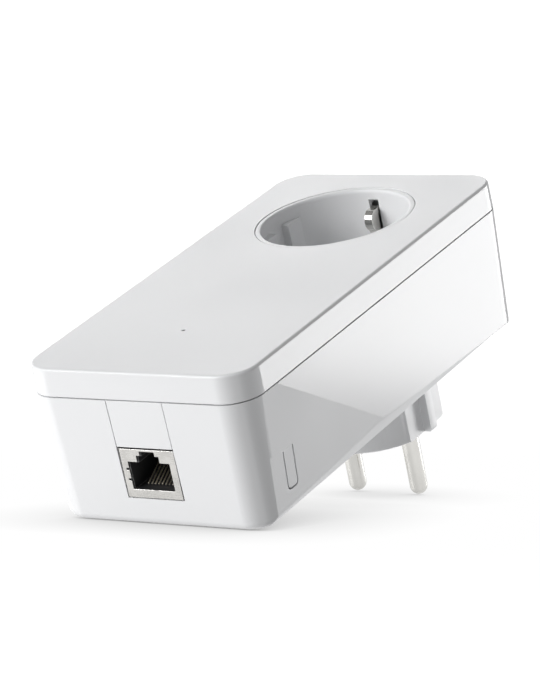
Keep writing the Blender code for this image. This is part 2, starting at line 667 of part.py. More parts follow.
def on_board(name, xs, zs, height, finish, rounding=0.2):
    """A component on the main board, standing towards the front."""
    base = MAIN_BOARD_Y - 0.3
    return part(name, block(xs, (base - height, base), zs, rounding, 1), finish)


def under_board(name, xs, zs, height, finish, rounding=0.2):
    """A component on the mains board, standing towards the back."""
    base = MAINS_BOARD_Y + 0.3
    return part(name, block(xs, (base, base + height), zs, rounding, 1), finish)


def make_network_components():
    on_board("lan_transformer", (-23.0, -9.0), (-82.0, -71.0), 6.0, "chip_black")
    on_board("modem_chip", (-7.0, 7.0), (-64.0, -50.0), 1.2, "chip_black")
    on_board("memory_chip", (12.0, 20.0), (-64.0, -57.0), 1.0, "chip_black", 0.1)
    on_board("crystal", (11.0, 16.0), (-71.0, -67.8), 1.3, "nickel", 0.3)
    sink = on_board("heat_sink", (-9.0, 9.0), (-66.0, -48.0), 9.0, "aluminium", 0.1)
    slots = bmesh.new()
    add_block(slots, (-12.0, 12.0), (-9.1, -5.0), (-70.0, -44.0))
    for i in range(5):
        x = (i - 2) * 3.4
        add_block(slots, (x - 1.0, x + 1.0), (-20.0, -11.2), (-70.0, -44.0))
    cut(sink, slots, "fins")
    coupling = on_board("coupling_transformer", (-24.0, -12.0), (-45.0, -34.0), 9.0, "chip_black", 0.4)
    cut(coupling, block((-22.0, -14.0), (-20.0, -15.4), (-47.0, -32.0)), "core_gap")
    on_board("switch_body", (22.6, 26.6), (-88.7, -83.6), 4.4, "black_plastic")
    plunger = part("switch_plunger", rod(1.2, PLUNGER_X, PLUNGER_YZ, "X", 16), "grey_plastic")
    place_origin(plunger, (PLUNGER_X[0], *PLUNGER_YZ))
    on_board("status_led", (-1.6, 1.6), (LAMP_Z - 1.4, LAMP_Z + 1.4), 1.6, "clear_plastic", 0.3)
    profile = [(0.0, DEPTH - 0.15), (0.4, DEPTH - 0.15), (0.4, DEPTH - 1.4), (1.2, DEPTH - 1.9), (1.2, 11.0),
               (1.6, 10.0), (0.0, 10.0)]
    turned("light_guide", profile, (0.0, LAMP_Z), "clear_plastic", steps=24)


def make_mains_components():
    board = part("mains_board", block((-28.4, 28.4), (MAINS_BOARD_Y - BOARD_THICK, MAINS_BOARD_Y),
                                      (-89.4, -28.4)), "board_green")
    cut(board, rod(2.0, (-40.0, -30.0), (0.0, LAMP_Z), segments=20), "light_guide_hole")
    transformer = under_board("power_transformer", (6.0, 24.0), (-53.0, -37.0), 12.6, "chip_black", 0.5)
    join(transformer, block((8.0, 22.0), (-33.5, -23.4), (-54.6, -35.4), 0.6, 1), "winding")
    under_board("bulk_capacitor", (-25.0, -15.0), (-70.0, -52.0), 10.0, "chip_black", 3.2)
    under_board("x_capacitor", (-14.0, 2.0), (-38.0, -31.0), 12.0, "film_yellow", 0.6)
    under_board("optocoupler", (8.0, 12.6), (-63.0, -56.6), 3.5, "chip_black", 0.1)
    under_board("bridge_rectifier", (15.0, 24.0), (-67.0, -58.0), 3.4, "chip_black", 0.2)
    choke = under_board("common_mode_choke", (-9.0, 3.0), (-53.0, -42.0), 11.0, "copper", 0.8)
    cut(choke, rod(2.2, (-60.0, -35.0), (-3.0, -29.0), "Z", 20), "core_window")
    part("varistor", rod(5.0, (-14.6, -11.4), (-29.2, -47.5), "X", 24), "disc_blue")
    part("fuse", rod(3.6, (-34.6, -26.0), (-22.0, -34.5), "Y", 20), "grey_plastic")
    part("output_capacitor", rod(4.0, (-34.6, -23.6), (20.0, -77.0), "Y", 24), "chip_black")
    part("board_header", block((-27.0, -22.0), (-34.7, -7.5), (-89.0, -83.6)), "black_plastic")
    sheet = part("insulating_sheet", block((-27.0, 27.0), (-21.2, -20.8), (-82.0, -32.0)), "clear_plastic")
    cut(sheet, rod(2.2, (-24.0, -18.0), (0.0, LAMP_Z), segments=20), "light_guide_hole")


make_front_cover()
make_rear_housing()
make_port_filler_panel()
make_pairing_button()
make_case_screws()
make_socket_group()
make_plug_group()
make_jack()
make_main_board()
make_network_components()
make_mains_components()
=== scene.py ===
"""Looks of the powerline adapter: fine shells, materials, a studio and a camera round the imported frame.

Shapes are drawn in millimetres, with y measured from the plane of the housing's back face, where it is 0.
"""

import math

import bmesh
import bpy
from mathutils import Matrix, Vector


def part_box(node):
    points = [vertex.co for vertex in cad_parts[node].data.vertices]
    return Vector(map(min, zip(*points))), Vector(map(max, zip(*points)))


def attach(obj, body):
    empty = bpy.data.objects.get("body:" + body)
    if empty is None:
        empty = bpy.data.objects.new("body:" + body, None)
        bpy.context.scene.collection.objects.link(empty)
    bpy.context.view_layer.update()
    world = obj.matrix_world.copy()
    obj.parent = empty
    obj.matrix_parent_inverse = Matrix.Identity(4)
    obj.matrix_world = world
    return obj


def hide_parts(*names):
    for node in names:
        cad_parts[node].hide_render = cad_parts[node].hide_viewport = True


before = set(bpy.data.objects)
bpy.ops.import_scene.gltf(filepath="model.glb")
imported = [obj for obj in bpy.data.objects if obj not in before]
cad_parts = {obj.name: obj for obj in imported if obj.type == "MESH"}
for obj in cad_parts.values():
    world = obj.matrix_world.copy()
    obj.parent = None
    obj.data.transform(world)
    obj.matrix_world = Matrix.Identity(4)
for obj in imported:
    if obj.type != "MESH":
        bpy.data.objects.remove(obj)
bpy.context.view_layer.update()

MM = 0.001
WALL_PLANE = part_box("rear_housing")[1].y


def span(node):
    """Lowest and highest corner of a CAD node in millimetres, with y measured from the wall plane."""
    low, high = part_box(node)
    shift = Vector((0.0, WALL_PLANE, 0.0))
    return (low - shift) / MM, (high - shift) / MM


# Overall sizes, from the frame
COVER_LOW, COVER_HIGH = span("front_cover")
PANEL_LOW, PANEL_HIGH = span("port_filler_panel")
BUTTON_LOW, BUTTON_HIGH = span("pairing_button")
SHIELD_LOW, SHIELD_HIGH = span("jack_shield")
INSERT_HIGH = span("socket_insert")[1]
PIN_LOW, PIN_HIGH = span("plug_pin_live")
PLUG_LOW, PLUG_HIGH = span("plug_body")
CLIP_HIGH = span("earth_clip_upper")[1]
HALF_WIDTH = COVER_HIGH.x
LOW_Z, HIGH_Z = COVER_LOW.z, COVER_HIGH.z
DEPTH = -COVER_LOW.y
PARTING_Y = PANEL_LOW.y

# Housing: the SATIN values shape its finished outside, and the others are the CAD's
CORNER = 8.4
WALL = 2.0
PARTING_GAP = 0.3
SIDE_DRAFT = 1.1
END_DRAFT = 0.75
COVER_DRAFT = 0.09
FACE_ROUND = 0.8
BACK_ROUND = 2.2
CHAMFER_IN = 3.0
CHAMFER_UP = 4.3
SATIN_UP = (4.7, 0.04)  # the satin chamfer's height at the ridge's end, and its fall per mm of z from there
SATIN_LEAST = 1.5
SATIN_RIDGE_END = (-6.7, -45.8)  # y, z
SATIN_BLEND = 0.3  # how softly the facet rolls into the chamfer
SATIN_STEP = 1.5  # between the points of the lofted cutter
RIDGE_LOW = (PARTING_Y, -86.0)
RIDGE_HIGH = (-5.0, -43.5)
FACET_TILT = math.radians(1.5)
PORT_HALF = 8.3
PORT_LOW_Y = -7.3
SLIT = 0.5
HINGE_SLIT = 0.02
SLIT_ROUND = 0.9
POSTS = [(-24.0, -93.5), (24.0, -93.5), (-24.0, 24.5), (24.0, 24.5)]
LAMP_Z = -74.2
BOSS_RADIUS = 3.6
COUNTERBORE_RADIUS = 2.9
SCREW_HOLE_RADIUS = 1.6
LIP = (0.25, 1.35)  # outside and inside of the locating lip, in from the wall's inner face
LIP_BITE = 0.6  # how far the lip's foot reaches into the wall
TONGUE_X = 28.0  # the button's tongue lies outside this
TONGUE_CUT = (5.0, 3.0)  # how far its window reaches inwards and outwards from the side
BUTTON_RIB_Y = -9.9
BUTTON_RIB_HALF = (0.7, 1.1)  # along y and z
BUTTON_RIB_ROOT_X = 30.4
SCREW_CROSS = (1.5, 0.3)  # half length and half width of the screws' cross recess

# Network port
SHEET = 0.4
JACK_FLOOR_Y = -9.8
NOTCHES = (-15.4, -12.6)  # y of the slits beside the shield's spring tab, on the -X side only
NOTCH_WIDTH = 0.55
NOTCH_X = (-6.9, -5.0)
JACK_STEPS = [(6.1, -17.1), (3.3, -18.8), (2.2, -19.95)]  # half width and top of each step of the opening
CONTACTS = 8
CONTACT_PITCH = 1.02
CONTACT_RADIUS = 0.23

# Socket and plug
RECESS_RADIUS = 19.5
RECESS_FLOOR = 23.5
RECESS_FLAT = 17.1
GUIDE_SLOT = 3.2
GUIDE_RADIUS = 20.3
GUIDE_DEPTH = 3.8  # the guide flats start this far below the face
CONTACT_HOLE_RADIUS = 3.0
CARRIER_HOLE_RADIUS = 1.35
CARRIER_HOLE_AT = (12.4, 11.4)  # x, z
INSERT_TUBE = 20.9
INSERT_BACK = -21.0
INSERT_FLANGE = (-38.4, -36.8)  # y of the flange behind the cover
RIM_RADIUS = 21.12
RIM_LIP = (0.55, 1.2)  # the rounded lip of the recess: outwards and deep
FACE_HOLE = 21.25
PIN_SPACING = 19.0
PIN_RADIUS = 2.4
PLUG_RADIUS = 17.9
PLUG_FLAT = 15.55
PLUG_FLAT_HALF = 14.0  # along z, past the plug's round side
PLUG_RIB = 1.6
PLUG_SHOULDER = 0.35  # y where the flats end
PLUG_ROUND = 0.6
PIN_GAP = 0.15  # between a pin and its hole
STRIP_SLOT = (2.7, 15.9, 17.0)  # half width, nearest z and end along y of the slot for an earth strip
PLUG_HOLLOW = (4.8, 12.5, 15.5)  # half width, half height and end along y
PLUG_HOLE = 18.2
CLIP_SLOT = 1.5  # half the width of the slot for an earth clip
CLIP_SLOT_Z = (18.6, 22.0)
CLIP_SLOT_DEPTH = 2.8  # the slot starts this far below the face
LAMP_RADIUS = 0.55

# Studio, in metres; the object leans on its pins and on the back edge of its port end
CAMERA_AT = Vector((0.476148, -0.347717, -0.707861))
LOOK_AT = Vector((-0.0023277, -0.0382750, -0.0372885))
CAMERA_UP = Vector((-0.03175, -0.91596, 0.40002))
LENS = 178.245
FLOOR_UP = Vector((0.0, -0.9314, 0.3639)).normalized()
FLOOR_LEVEL = -18.2  # millimetres from the origin, along FLOOR_UP
FLOOR_SIZE = 2.0
FLOOR_FADE = (0.12, 0.5)  # the floor fades into the white background between these distances
FLOOR_GLOW = 1.0
CONTACT_SOFTNESS = 0.28  # power that lightens the contact shadows
FLOOR_FILL = 0.2  # the part of the glow that lights the object
CONTACT_SHADE = 0.03  # metres, reach of the soft contact shadows
AMBIENT = 0.29
BACKDROP = 1.15
LIGHTS = [
    # name, degrees to the camera's right, degrees up from the floor, width and height, radiance
    ("left_near", -60, 15, 0.9, 0.9, 8.5),
    ("left", -90, 15, 0.9, 0.9, 3.8),
    ("left_low", -100, -35, 0.9, 0.9, 5.6),
    ("left_back", -150, 15, 0.9, 0.9, 0.7),
    ("right_back", 120, 5, 0.9, 0.9, 5.9),
    ("back", 180, 20, 0.9, 0.9, 4.6),
    ("back_high", 180, 52, 1.0, 1.0, 0.45),
    ("wall_side", 180, -60, 1.0, 1.0, 4.7),
    ("front_low", 30, -50, 0.9, 0.9, 1.4),
]
LIGHT_DISTANCE = 1.8


# ---------------------------------------------------------------- mesh helpers

def to_mesh(name, bm):
    bmesh.ops.scale(bm, vec=(MM, MM, MM), verts=bm.verts)
    bmesh.ops.translate(bm, vec=(0.0, WALL_PLANE, 0.0), verts=bm.verts)
    bmesh.ops.recalc_face_normals(bm, faces=bm.faces)
    mesh = bpy.data.meshes.new(name)
    bm.to_mesh(mesh)
    bm.free()
    mesh.shade_smooth()
    return mesh


def new_object(name, mesh):
    obj = bpy.data.objects.new(name, mesh)
    bpy.context.scene.collection.objects.link(obj)
    return obj


def bake(obj, name):
    """The object's evaluated mesh as a new, plain object, and the first object removed."""
    evaluated = obj.evaluated_get(bpy.context.evaluated_depsgraph_get())
    mesh = bpy.data.meshes.new_from_object(evaluated)
    mesh.name = name
    bpy.data.objects.remove(obj, do_unlink=True)
    return new_object(name, mesh)


def combine(obj, bm, operation="DIFFERENCE"):
    """Cuts or joins a shape at once, and gives back the new object."""
    other = new_object("operand", to_mesh("operand", bm))
    step = obj.modifiers.new("combine", "BOOLEAN")
    step.operation = operation
    step.solver = "EXACT"
    step.object = other
    made = bake(obj, obj.name)
    bpy.data.objects.remove(other, do_unlink=True)
    return made


def spare_root(obj, root_y):
    """Marks the edges to be rounded, all but those at the root of the button's tongue."""
    bm = bmesh.new()
    bm.from_mesh(obj.data)
    weight = bm.edges.layers.float.new("bevel_weight_edge")
    height = root_y * MM + WALL_PLANE
    for edge in bm.edges:
        at_root = all(abs(v.co.y - height) < 0.1 * MM and v.co.x > TONGUE_X * MM for v in edge.verts)
        sharp = len(edge.link_faces) == 2 and edge.calc_face_angle() > math.radians(32.0)
        edge[weight] = 1.0 if sharp and not at_root else 0.0
        edge.smooth = not (sharp and at_root)
    bm.to_mesh(obj.data)
    bm.free()


def finish_edges(obj, width, angle=32.0, segments=2, root_y=None):
    """Small rounds on the edges that a mould or a press leaves, with flat faces kept flat in the shading."""
    step = obj.modifiers.new("edges", "BEVEL")
    step.width = width * MM
    step.segments = segments
    step.limit_method = "ANGLE"
    step.angle_limit = math.radians(angle)
    step.miter_outer = "MITER_ARC"
    step.use_clamp_overlap = True
    if root_y is not None:
        spare_root(obj, root_y)
        step.limit_method = "WEIGHT"
    smooth_normals(obj)
    return obj


def smooth_normals(obj):
    obj.data.shade_smooth()
    step = obj.modifiers.new("normals", "WEIGHTED_NORMAL")
    step.mode = "FACE_AREA"
    step.weight = 100
    step.keep_sharp = True


def add_block(bm, xs, ys, zs):
    centre = Vector((sum(xs) / 2, sum(ys) / 2, sum(zs) / 2))
    size = (xs[1] - xs[0], ys[1] - ys[0], zs[1] - zs[0])
    matrix = Matrix.Translation(centre) @ Matrix.Diagonal((*size, 1.0))
    return bmesh.ops.create_cube(bm, size=1.0, matrix=matrix)["verts"]


def block(xs, ys, zs):
    bm = bmesh.new()
    add_block(bm, xs, ys, zs)
    return bm


def add_rod(bm, radius, ys, centre, segments=64):
    """A cylinder along Y round (x, z)."""
    middle = Matrix.Translation((centre[0], sum(ys) / 2, centre[1]))
    matrix = middle @ Matrix.Rotation(math.radians(90), 4, "X")
    bmesh.ops.create_cone(bm, cap_ends=True, segments=segments, radius1=radius, radius2=radius,
                          depth=ys[1] - ys[0], matrix=matrix)


def rod(radius, ys, centre=(0.0, 0.0), segments=64):
    bm = bmesh.new()
    add_rod(bm, radius, ys, centre, segments)
    return bm


def lathe(profile, centre=(0.0, 0.0), steps=96):
    """Turns a closed profile of (radius, y) about the axis along Y through centre (x, z)."""
    bm = bmesh.new()
    points = [bm.verts.new((centre[0] + radius, y, centre[1])) for radius, y in profile]
    edges = [bm.edges.new(pair) for pair in zip(points, points[1:])]
    bmesh.ops.spin(bm, geom=points + edges, cent=(centre[0], 0.0, centre[1]), axis=(0.0, 1.0, 0.0),
                   angle=math.tau, steps=steps, use_merge=True)
    bmesh.ops.remove_doubles(bm, verts=bm.verts, dist=0.0005)
    return bm


def arc(centre, radius, start, end, count):
    angles = [math.radians(start + (end - start) * i / count) for i in range(count + 1)]
    return [(centre[0] + radius * math.cos(a), centre[1] + radius * math.sin(a)) for a in angles]


# ---------------------------------------------------------------- materials

class Shader:
    """A material with a Principled BSDF, whose nodes are added and linked by short calls."""

    def __init__(self, name, **inputs):
        self.material = bpy.data.materials.new(name)
        self.material.use_nodes = True
        self.tree = self.material.node_tree
        self.surface = self.tree.nodes["Principled BSDF"]
        self.place = self.add("ShaderNodeTexCoord").outputs["Object"]
        for key, value in inputs.items():
            self.set(key.replace("_", " "), value)

    def add(self, kind, inputs=None, **settings):
        node = self.tree.nodes.new(kind)
        for key, value in settings.items():
            setattr(node, key, value)
        for key, value in (inputs or {}).items():
            self.feed(node.inputs[key], value)
        return node

    def feed(self, socket, value):
        if isinstance(value, bpy.types.NodeSocket):
            self.tree.links.new(value, socket)
        else:
            socket.default_value = value

    def set(self, key, value):
        self.feed(self.surface.inputs[key], value)

    def noise(self, per_mm, detail=3.0, stretch=None):
        """Noise between 0 and 1 with this many grains a millimetre, optionally drawn out along an axis."""
        place = self.place
        if stretch:
            place = self.add("ShaderNodeMapping", {"Vector": place, "Scale": stretch}).outputs["Vector"]
        node = self.add("ShaderNodeTexNoise", {"Vector": place, "Scale": per_mm / MM, "Detail": detail})
        return node.outputs["Fac"]

    def spread(self, value, low, high, start=0.3, end=0.7):
        """Spreads start..end of a value over low..high."""
        node = self.add("ShaderNodeMapRange", {"Value": value, "From Min": start, "From Max": end,
                                               "To Min": low, "To Max": high})
        return node.outputs["Result"]

    def mix(self, share, first, second):
        """A colour between two others."""
        node = self.tree.nodes.new("ShaderNodeMix")
        node.data_type = "RGBA"
        self.feed(node.inputs[0], share)
        for socket, colour in ((node.inputs[6], first), (node.inputs[7], second)):
            self.feed(socket, colour if isinstance(colour, bpy.types.NodeSocket) else (*colour, 1.0))
        return node.outputs[2]

    def bump(self, height, depth, strength=1.0):
        """Raises the surface by depth millimetres where height is 1."""
        inputs = {"Height": height, "Distance": depth * MM, "Strength": strength}
        self.set("Normal", self.add("ShaderNodeBump", inputs).outputs["Normal"])

    def edges(self, radius):
        """1 on edges sharper than radius millimetres, where a highlight is painted and, on plastic, handling
        polishes, and 0 on flat ground.
        """
        soft = self.add("ShaderNodeBevel", {"Radius": radius * MM}, samples=4).outputs["Normal"]
        flat = self.add("ShaderNodeNewGeometry").outputs["Normal"]
        match = self.add("ShaderNodeVectorMath", operation="DOT_PRODUCT")
        self.feed(match.inputs[0], soft)
        self.feed(match.inputs[1], flat)
        return self.spread(match.outputs["Value"], 1.0, 0.0, 0.90, 0.999)


def lighter(colour, share):
    return tuple(c + (1.0 - c) * share for c in colour)


def darker(colour, share):
    return tuple(c * (1.0 - share) for c in colour)


def moulded(name, colour, roughness, grain, depth, polish=0.3):
    """Moulded plastic: a fine eroded grain, cloudy gloss, and edges that handling has smoothed, their colour
    lightened by a painted highlight.
    """
    made = Shader(name)
    edges = made.edges(0.35)
    cloud = made.noise(0.035, 4.0)
    fine = made.noise(grain, 2.0)
    body = made.mix(cloud, darker(colour, 0.012), lighter(colour, 0.012))
    # painted highlight: the edges' colour is lightened; the lower roughness on them below is the wear of
    # handling
    made.set("Base Color", made.mix(edges, body, lighter(colour, 0.25)))
    gloss = made.spread(cloud, roughness * 0.9, roughness * 1.12)
    worn = made.add("ShaderNodeMix", data_type="FLOAT")
    made.feed(worn.inputs[0], edges)
    made.feed(worn.inputs[2], gloss)
    made.feed(worn.inputs[3], roughness * (1.0 - polish))
    made.set("Roughness", worn.outputs[0])
    made.set("IOR", 1.5)
    made.bump(fine, depth)
    return made.material


def plated(name, colour, roughness, stretch, lines=9.0, depth=0.0015):
    """Plated or rolled metal: fine lines along one direction, dull patches, and edges lightened by a painted
    highlight.
    """
    made = Shader(name, Metallic=1.0)
    edges = made.edges(0.25)
    drawn = made.noise(lines, 3.0, stretch)
    patch = made.noise(0.25, 4.0)
    body = made.mix(patch, darker(colour, 0.06), lighter(colour, 0.06))
    # painted highlight: the edges' colour is lightened
    made.set("Base Color", made.mix(edges, body, lighter(colour, 0.35)))
    cloudy = made.spread(patch, roughness * 0.8, roughness * 1.3)
    rough = made.add("ShaderNodeMath", operation="MULTIPLY")
    made.feed(rough.inputs[0], cloudy)
    made.feed(rough.inputs[1], made.spread(drawn, 0.85, 1.2))
    made.set("Roughness", rough.outputs[0])
    made.bump(drawn, depth)
    return made.material


def clear_resin(name, colour, roughness):
    """Clear plastic with flow clouds and faint scratches."""
    made = Shader(name, Transmission_Weight=0.9, IOR=1.49)
    cloud = made.noise(0.4, 3.0)
    made.set("Base Color", made.mix(cloud, colour, lighter(colour, 0.3)))
    made.set("Roughness", made.spread(cloud, roughness * 0.6, roughness * 1.6))
    made.bump(made.noise(3.0, 2.0, (1.0, 0.1, 1.0)), 0.004)
    return made.material


def solder_mask(name, colour):
    """A circuit board: green resist over copper tracks."""
    made = Shader(name, Coat_Weight=0.4)
    tracks = made.add("ShaderNodeTexBrick", {"Vector": made.place, "Scale": 0.14 / MM, "Mortar Size": 0.03})
    track = tracks.outputs["Fac"]
    made.set("Base Color", made.mix(track, colour, lighter(colour, 0.12)))
    made.set("Roughness", made.spread(made.noise(1.5), 0.3, 0.5))
    made.bump(track, 0.03)
    return made.material


def wound(name, colour):
    """Enamelled wire in close turns along Z."""
    made = Shader(name, Coat_Weight=0.6)
    turns = made.add("ShaderNodeTexWave", {"Vector": made.place, "Scale": 0.35 / MM, "Distortion": 0.4},
                     bands_direction="Z").outputs["Fac"]
    # painted shade: the copper is darkened between the turns
    made.set("Base Color", made.mix(turns, darker(colour, 0.6), colour))
    made.set("Roughness", made.spread(made.noise(2.0), 0.25, 0.45))
    made.bump(turns, 0.12)
    return made.material


WHITE = (0.76, 0.765, 0.775)
NICKEL = (0.70, 0.69, 0.66)

MATERIALS = {
    "white_satin": moulded("white_satin", WHITE, 0.42, 2.6, 0.006),
    "white_gloss": moulded("white_gloss", WHITE, 0.16, 1.2, 0.0012, 0.2),
    "white_facet": moulded("white_facet", WHITE, 0.5, 2.6, 0.006),
    "recess_white": moulded("recess_white", WHITE, 0.45, 2.2, 0.008),
    "plug_white": moulded("plug_white", WHITE, 0.3, 1.6, 0.006),
    "black_plastic": moulded("black_plastic", (0.02, 0.02, 0.022), 0.42, 2.0, 0.01),
    "grey_plastic": moulded("grey_plastic", (0.30, 0.31, 0.33), 0.5, 2.0, 0.01),
    "clear_plastic": clear_resin("clear_plastic", (0.85, 0.90, 0.92), 0.15),
    "insulating_film": moulded("insulating_film", (0.80, 0.84, 0.86), 0.35, 1.0, 0.004),
    "nickel": plated("nickel", NICKEL, 0.16, (1.0, 0.05, 1.0)),
    "shield_nickel": plated("shield_nickel", (0.52, 0.51, 0.49), 0.26, (0.04, 1.0, 1.0)),
    "brass": plated("brass", (0.72, 0.52, 0.22), 0.28, (1.0, 0.05, 1.0)),
    "gold": plated("gold", (0.86, 0.78, 0.62), 0.32, (1.0, 1.0, 0.1)),
    "steel": plated("steel", (0.55, 0.56, 0.58), 0.34, (1.0, 1.0, 1.0), 3.0),
    "aluminium": plated("aluminium", (0.75, 0.76, 0.78), 0.4, (1.0, 1.0, 0.04), 5.0),
    "circuit_board": solder_mask("circuit_board", (0.03, 0.20, 0.08)),
    "component_black": moulded("component_black", (0.03, 0.03, 0.03), 0.55, 3.0, 0.012),
    "component_yellow": moulded("component_yellow", (0.75, 0.60, 0.10), 0.4, 1.5, 0.006),
    "component_blue": moulded("component_blue", (0.05, 0.15, 0.45), 0.3, 0.6, 0.02),
    "copper_winding": wound("copper_winding", (0.72, 0.36, 0.18)),
}


# ---------------------------------------------------------------- housing shells

def slice_off(bm, point, normal):
    done = bmesh.ops.bisect_plane(bm, geom=bm.verts[:] + bm.edges[:] + bm.faces[:], dist=0.0001,
                                  plane_co=point, plane_no=normal, clear_outer=True)
    rim = [piece for piece in done["geom_cut"] if isinstance(piece, bmesh.types.BMEdge)]
    bmesh.ops.edgeloop_fill(bm, edges=rim)


def rounded_box(y_wide, y_narrow, half_width, low, high, drafts, corner, edge_round, fine=True):
    """A box with round corners along Y that narrows from one end to the other, its narrow rim rounded."""
    corner_steps, rim_steps = (24, 6) if fine else (8, 2)
    bm = bmesh.new()
    add_block(bm, (-half_width, half_width), sorted((y_wide, y_narrow)), (low, high))
    along_y = [e for e in bm.edges if abs((e.verts[0].co - e.verts[1].co).y) > 1.0]
    bmesh.ops.bevel(bm, geom=along_y, offset=corner, segments=corner_steps, profile=0.5, affect="EDGES")
    middle = (low + high) / 2
    half_length = (high - low) / 2
    for vert in bm.verts:
        share = (vert.co.y - y_wide) / (y_narrow - y_wide)
        vert.co.x *= 1.0 - share * drafts[0] / half_width
        vert.co.z = middle + (vert.co.z - middle) * (1.0 - share * drafts[1] / half_length)
    rim = [e for e in bm.edges if all(abs(v.co.y - y_narrow) < 0.001 for v in e.verts)]
    bmesh.ops.bevel(bm, geom=rim, offset=edge_round, segments=rim_steps, profile=0.5, affect="EDGES")
    return bm


def side_x(y):
    return HALF_WIDTH - SIDE_DRAFT * (y - PARTING_Y) / -PARTING_Y


def facet_planes():
    """A point and the outward normal of the facet and of the chamfer on the +X side."""
    side_normal = Vector((1.0, SIDE_DRAFT / -PARTING_Y, 0.0)).normalized()
    low = Vector((side_x(RIDGE_LOW[0]), *RIDGE_LOW))
    high = Vector((side_x(RIDGE_HIGH[0]), *RIDGE_HIGH))
    facet_normal = Matrix.Rotation(FACET_TILT, 3, (high - low).normalized()) @ side_normal
    chamfer_normal = Vector((CHAMFER_UP, CHAMFER_IN, 0.0)).normalized()
    chamfer_point = Vector((side_x(0.0) - CHAMFER_IN, 0.0, 0.0))
    return (low, facet_normal), (chamfer_point, chamfer_normal)


def housing_form(inset, fine=True):
    """The rear housing's outer form, or with an inset the hollow inside it, open towards the front."""
    bm = rounded_box(PARTING_Y, -inset, HALF_WIDTH - inset, LOW_Z + inset, HIGH_Z - inset,
                     (SIDE_DRAFT, END_DRAFT), CORNER - inset * 0.6, BACK_ROUND - inset * 0.5, fine)
    for point, normal in facet_planes():
        inner = point - normal * inset
        for side in (1, -1):
            slice_off(bm, (side * inner.x, inner.y, inner.z), (side * normal.x, normal.y, normal.z))
    return bm


def flank_x(y):
    """Half the width of the finished side, which runs straight from the parting line to the back round."""
    return HALF_WIDTH - SIDE_DRAFT * (y - PARTING_Y) / (-BACK_ROUND - PARTING_Y)


def satin_depth(y, z):
    """How far the satin facet and chamfer lie inside the side's plane; below 0 there is no cut."""
    slope = (SATIN_RIDGE_END[0] - RIDGE_LOW[0]) / (SATIN_RIDGE_END[1] - RIDGE_LOW[1])
    ridge_y = RIDGE_LOW[0] + (z - RIDGE_LOW[1]) * slope
    facet = math.tan(FACET_TILT) * (y - ridge_y) / math.hypot(1.0, slope)
    height, fall = SATIN_UP
    rise = max(height - fall * abs(z - SATIN_RIDGE_END[1]), SATIN_LEAST)
    chamfer = (flank_x(0.0) - side_x(0.0) + CHAMFER_IN) * (y + rise) / rise
    overlap = max(SATIN_BLEND - abs(facet - chamfer), 0.0)
    return max(facet, chamfer) + overlap * overlap / (4.0 * SATIN_BLEND)


def satin_cutter(side):
    """Everything outside the satin facet and chamfer of one side, as a lofted block."""
    rows = [PARTING_Y - 3.0 + SATIN_STEP * i for i in range(int((-PARTING_Y - 4.0) / SATIN_STEP))]
    rows += [-7.0 + 0.5 * i for i in range(19)]
    columns = [LOW_Z - 3.0 + SATIN_STEP * i for i in range(int((HIGH_Z - LOW_Z + 6.0) / SATIN_STEP) + 1)]
    bm = bmesh.new()
    inner = [[bm.verts.new((side * (flank_x(y) - satin_depth(y, z)), y, z)) for z in columns] for y in rows]
    outer = [[bm.verts.new((side * (HALF_WIDTH + 6.0), y, z)) for z in columns] for y in rows]
    for layer in (inner, outer):
        for low, high in zip(layer, layer[1:]):
            for i in range(len(columns) - 1):
                bm.faces.new((low[i], low[i + 1], high[i + 1], high[i]))
    rim = [(0, i) for i in range(len(columns))]
    rim += [(i, len(columns) - 1) for i in range(1, len(rows))]
    rim += [(len(rows) - 1, i) for i in range(len(columns) - 2, -1, -1)]
    rim += [(i, 0) for i in range(len(rows) - 2, 0, -1)]
    for (a, b), (c, d) in zip(rim, rim[1:] + rim[:1]):
        bm.faces.new((inner[a][b], inner[c][d], outer[c][d], outer[a][b]))
    bmesh.ops.triangulate(bm, faces=bm.faces[:])
    for face in bm.faces:
        face.material_index = 1
    return bm


def outer_form(name, *finishes):
    """The rear housing's outside as a solid, glossy on its sides and satin on its facets and chamfers."""
    form = rounded_box(PARTING_Y, 0.0, HALF_WIDTH, LOW_Z, HIGH_Z, (SIDE_DRAFT, END_DRAFT), CORNER, BACK_ROUND)
    outside = new_object(name, to_mesh(name, form))
    give(outside, *finishes)
    for side in (1, -1):
        outside = combine(outside, satin_cutter(side))
    return outside


def give(obj, *names):
    """Puts these finishes in the object's material slots, in order."""
    for name in names:
        obj.data.materials.append(MATERIALS[name])


def finish_piece(piece, body, *nodes):
    """Stands the piece in for CAD nodes and lets it ride on their body."""
    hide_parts(*nodes)
    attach(piece, body)


def make_cover():
    """The cover: a satin face with glossy sides."""
    top = PARTING_Y - PARTING_GAP
    form = rounded_box(top, -DEPTH, HALF_WIDTH, LOW_Z, HIGH_Z, (COVER_DRAFT, COVER_DRAFT), CORNER, FACE_ROUND)
    form.normal_update()
    for face in form.faces:
        face.material_index = 1 if face.normal.y > -0.5 else 0
    cover = new_object("front_cover_shell", to_mesh("front_cover_shell", form))
    give(cover, "white_satin", "white_gloss")
    hollow = rounded_box(top + 1.0, -DEPTH + WALL, HALF_WIDTH - WALL, LOW_Z + WALL, HIGH_Z - WALL,
                         (0.0, 0.0), CORNER - WALL, 0.5, fine=False)
    cover = combine(cover, hollow)
    cover = combine(cover, rod(FACE_HOLE, (-DEPTH - 2.0, -DEPTH + WALL + 2.0), segments=160))
    cover = combine(cover, rod(LAMP_RADIUS, (-DEPTH - 1.0, -DEPTH + 3.0), (0.0, LAMP_Z), segments=32))
    finish_edges(cover, 0.14)
    finish_piece(cover, "housing", "front_cover")


